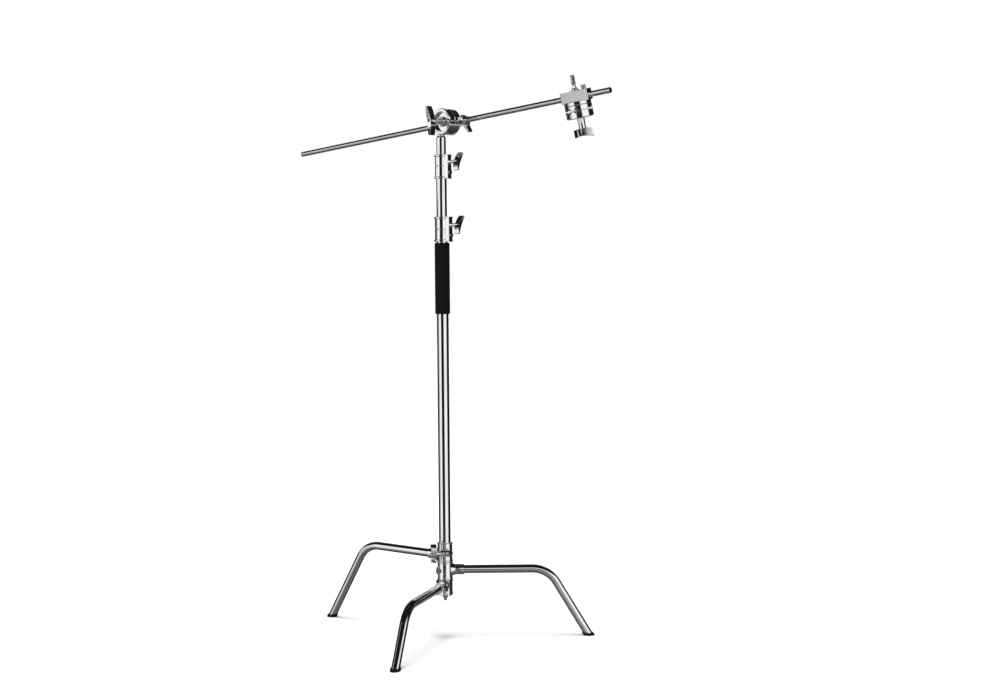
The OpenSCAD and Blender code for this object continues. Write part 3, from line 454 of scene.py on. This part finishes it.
# %% [markdown]
# ## What the chrome sees
# A mirror finish is only as good as the room it reflects. Whoever shoots chrome puts large
# white sheets at the sides and black cards between them, so that every tube gets white
# bands with crisp dark edges. Here the surround does that for reflections only. Two white
# sheets stand left and right of the camera, with a black card between them and one beyond
# each, and a half-bright sheet stands behind the stand. At the height of the heads the
# left sheet reaches further back, higher up one sheet goes right across, and the ceiling
# is dark. The floor is pale near the horizon and darker towards the feet. Everything that
# isn't a mirror sees a plain white surround.

# %% Directions in the surround
FRONT = math.radians(-78.6)           # the way to the camera, as seen from the column
world = bpy.data.worlds.new("white studio")
bpy.context.scene.world = world
world.use_nodes = True
sky = world.node_tree
sky.nodes.clear()
turned = add(sky, "VectorRotate", {"Vector": add(sky, "TexCoord").outputs["Generated"],
                                   "Angle": -FRONT}, rotation_type="Z_AXIS")
parts = add(sky, "SeparateXYZ", {0: turned})
bearing = add(sky, "Math", {0: parts.outputs["Y"], 1: parts.outputs["X"]},
              operation="ARCTAN2")
angle = add(sky, "MapRange", {"Value": bearing, **from_to((-math.pi, math.pi))})
height = add(sky, "MapRange", {"Value": parts.outputs["Z"], **from_to((-1, 1))})


def levels(value, stops):
    """Brightness that changes along a value. Each stop is a place, 0 to 1, and a level."""
    made = add(sky, "ValToRGB", {"Fac": value})
    elements = made.color_ramp.elements
    while len(elements) < len(stops):
        elements.new(0.5)
    for element, (place, level) in zip(elements, stops):
        element.position, element.color = place, (level, level, level, 1)
    return made


def round_about(*stops):
    """Levels by the angle from the camera in degrees, more than 0 on its right."""
    return levels(angle, [((degrees + 180) / 360, level) for degrees, level in stops])


def up_and_down(*stops):
    """Levels by the angle above the horizon in degrees."""
    return levels(height, [((math.sin(math.radians(degrees)) + 1) / 2, level)
                           for degrees, level in stops])


print("the camera is at %.1f degrees" % math.degrees(FRONT))

# %% [markdown]
# ## Sheets and cards
# Each band of the surround is one list of angles and levels. A band is followed from
# behind the camera's left, past the camera, to behind its right. The bands lie one above
# the other, and each blends into the next over a few degrees.

# %% Walls and ceiling
BLACK, WHITE, BEHIND = 0.01, 1.0, 0.5


def sheets(*stops):
    return round_about((-180, BEHIND), (-158, BEHIND), (-150, BLACK), *stops,
                       (150, BLACK), (158, BEHIND), (180, BEHIND))


level_band = sheets((-102, BLACK), (-97, 0.3), (-85, 0.3), (-74, WHITE), (-40, WHITE),
                    (-32, BLACK), (11, BLACK), (20, WHITE), (68, WHITE), (78, BLACK))
eye_band = sheets((-118, BLACK), (-104, WHITE), (-40, WHITE), (-32, BLACK),
                  (11, BLACK), (20, WHITE), (68, WHITE), (78, BLACK))
high_band = sheets((-92, BLACK), (-84, WHITE), (72, WHITE), (82, BLACK))
ceiling = (BLACK, BLACK, BLACK, 1)
ABOVE = (((1.6, 2.6), eye_band), ((12, 16), high_band), ((28, 35), ceiling))
room = level_band
for (starts, ends), band in ABOVE:
    risen = up_and_down((starts, 0.0), (ends, 1.0))
    room = add(sky, "Mix", {"Factor": risen, "A": room, "B": band}, data_type="RGBA")
    print("a new band from %.1f to %.1f degrees up" % (starts, ends))

# %% [markdown]
# ## The floor in the mirrors
# The floor gets darker towards the feet, is nearly black where no sheet lights it, and
# takes a little of the pattern of the sheets above it.

# %% Floor in the mirrors
FLOOR_FULL, FLOOR_ENDS = -15, -12       # degrees above the horizon
by_height = up_and_down((-90, 0.14), (-50, 0.14), (-38, 0.18), (-28, 0.28), (-22, 0.45),
                        (-16, 0.95))
bright_floor = add(sky, "Mix", {"Factor": 0.2, "A": by_height, "B": level_band},
                   data_type="RGBA", blend_type="MULTIPLY")
lit_part = round_about((-180, 0.6), (-152, 0.6), (-140, 0.05), (-118, 0.0), (-104, 1.0),
                       (88, 1.0), (100, 0.15), (140, 0.15), (158, 0.6), (180, 0.6))
whole_floor = add(sky, "Mix", {"Factor": lit_part, "A": (0.03, 0.03, 0.03, 1),
                               "B": bright_floor}, data_type="RGBA")
is_floor = up_and_down((FLOOR_FULL, 1.0), (FLOOR_ENDS, 0.0))
studio = add(sky, "Mix", {"Factor": is_floor, "A": room, "B": whole_floor},
             data_type="RGBA")
print("the mirrors' floor starts at", FLOOR_ENDS, "degrees")

# %% [markdown]
# ## Who sees what
# The light path node tells the rays apart: the camera sees pure white, a mirror sees the
# room, and every other ray sees a dim white that only lightens the shadows.

# %% Surround
PLAIN_LIGHT = 0.3
plain = add(sky, "Background", {"Color": (1, 1, 1, 1), "Strength": PLAIN_LIGHT})
seen = add(sky, "Background", {"Color": (1, 1, 1, 1), "Strength": 1.0})
mirrored = add(sky, "Background", {"Color": studio, "Strength": 1.0})
ray = add(sky, "LightPath")
unseen = add(sky, "MixShader", {"Fac": ray.outputs["Is Glossy Ray"], 1: plain,
                                2: mirrored})
whole = add(sky, "MixShader", {"Fac": ray.outputs["Is Camera Ray"], 1: unseen, 2: seen})
add(sky, "OutputWorld", {"Surface": whole})
print("surround of", len(sky.nodes), "nodes")

# %% [markdown]
# ## Lamps
# One large soft box hangs over the stand. It gives the soft shadows that run inwards from
# each foot, darkest where the foot touches the floor. A second, weaker one fills from the
# camera's left. Mirrors don't see the lamps, because the sheets already stand for them.

# %% Lamps


def soft_box(name, place, aim, size, watts):
    data = bpy.data.lights.new(name, "AREA")
    data.shape, data.size, data.energy = "SQUARE", size, watts
    lamp = bpy.data.objects.new(name, data)
    bpy.context.scene.collection.objects.link(lamp)
    lamp.location, lamp.visible_glossy = place, False
    towards = Vector(aim) - Vector(place)
    lamp.rotation_euler = towards.to_track_quat("-Z", "Y").to_euler()
    print(name, "at", place)


soft_box("overhead soft box", place=(0.0, -0.2, 4.2), aim=(0, 0, 0), size=1.6, watts=150)
soft_box("fill soft box", place=(-3.0, -3.6, 2.6), aim=(0, 0, 0.8), size=1.8, watts=60)

# %% [markdown]
# ## Camera
# The camera stands 4.6 metres away at chest height and looks down a little, so that the
# stand's feet spread out over the floor and the arm rises to the right. It is aimed by a
# bearing, counted from X to Y, a dip below the horizon, and a roll about its own view.

# %% Camera
PLACE = (0.9024, -4.4754, 1.1476)
BEARING, DIP, ROLL = (math.radians(degrees) for degrees in (99.29, 3.42, 0.42))
camera_data = bpy.data.cameras.new("studio camera")
camera_data.lens, camera_data.sensor_width = 55.8, 36
camera = bpy.data.objects.new("studio camera", camera_data)
bpy.context.scene.collection.objects.link(camera)
look = Vector((math.cos(BEARING) * math.cos(DIP), math.sin(BEARING) * math.cos(DIP),
               -math.sin(DIP)))
camera.location = PLACE
camera.rotation_mode = "QUATERNION"
camera.rotation_quaternion = Quaternion(look, ROLL) @ look.to_track_quat("-Z", "Y")
bpy.context.scene.camera = camera
bpy.context.scene.view_settings.view_transform = "Standard"
print("camera at", PLACE)
